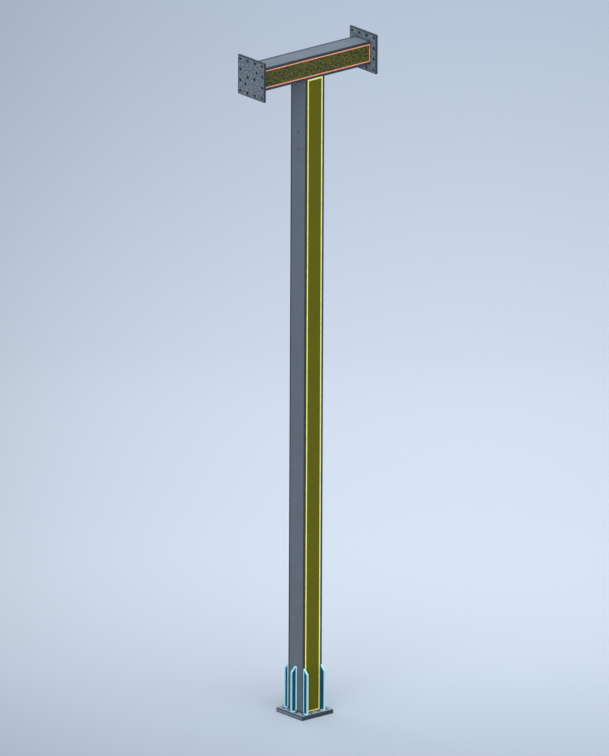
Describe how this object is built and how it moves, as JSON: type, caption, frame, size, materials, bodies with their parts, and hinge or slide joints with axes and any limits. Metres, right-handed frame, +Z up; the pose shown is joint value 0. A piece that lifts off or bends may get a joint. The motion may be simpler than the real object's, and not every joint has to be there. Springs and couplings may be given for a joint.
{
  "type": "double cantilever gantry mast",
  "caption": "Boxed H-section mast with a gusseted base plate and a boxed crosshead whose drilled end plates carry two cantilever booms.",
  "frame": {"origin": "centre of the underside of the base plate", "axes": "+X along the crosshead, +Y to the back, +Z up the column"},
  "size_m": [1.97, 0.55, 9.365],
  "materials": {
    "section_paint": "grey structural paint on the rolled sections, satin",
    "plate_paint": "grey structural paint on the drilled plates, satin",
    "olive_paint": "olive intermediate paint on the column boxing plates, satin",
    "mottled_paint": "mottled olive and charcoal paint on the crosshead boxing plates, satin",
    "teal_paint": "dark teal paint on the gussets, satin",
    "charcoal_weld": "charcoal stripe coat brushed over the welds",
    "yellow_weld": "pale yellow stripe coat brushed over the welds",
    "salmon_weld": "salmon stripe coat brushed over the welds",
    "cyan_weld": "pale cyan stripe coat brushed over the welds"
  },
  "bodies": {
    "root": {"base_plate": "plate_paint", "column_section": "section_paint", "column_front_plate": "olive_paint", "column_back_plate": "olive_paint", "gusset_left_mid": "teal_paint", "gusset_right_mid": "teal_paint", "gusset_left_front": "teal_paint", "gusset_right_front": "teal_paint", "gusset_left_back": "teal_paint", "gusset_right_back": "teal_paint", "crosshead_section": "section_paint", "crosshead_front_plate": "mottled_paint", "crosshead_back_plate": "mottled_paint", "left_end_plate": "plate_paint", "right_end_plate": "plate_paint", "column_base_weld": "charcoal_weld", "column_head_weld": "charcoal_weld", "column_front_seams": "yellow_weld", "column_back_seams": "yellow_weld", "crosshead_front_seams": "salmon_weld", "crosshead_back_seams": "salmon_weld", "left_end_weld": "charcoal_weld", "right_end_weld": "charcoal_weld", "weld_left_mid": "cyan_weld", "weld_right_mid": "cyan_weld", "weld_left_front": "cyan_weld", "weld_right_front": "cyan_weld", "weld_left_back": "cyan_weld", "weld_right_back": "cyan_weld"}
  },
  "joints": []
}
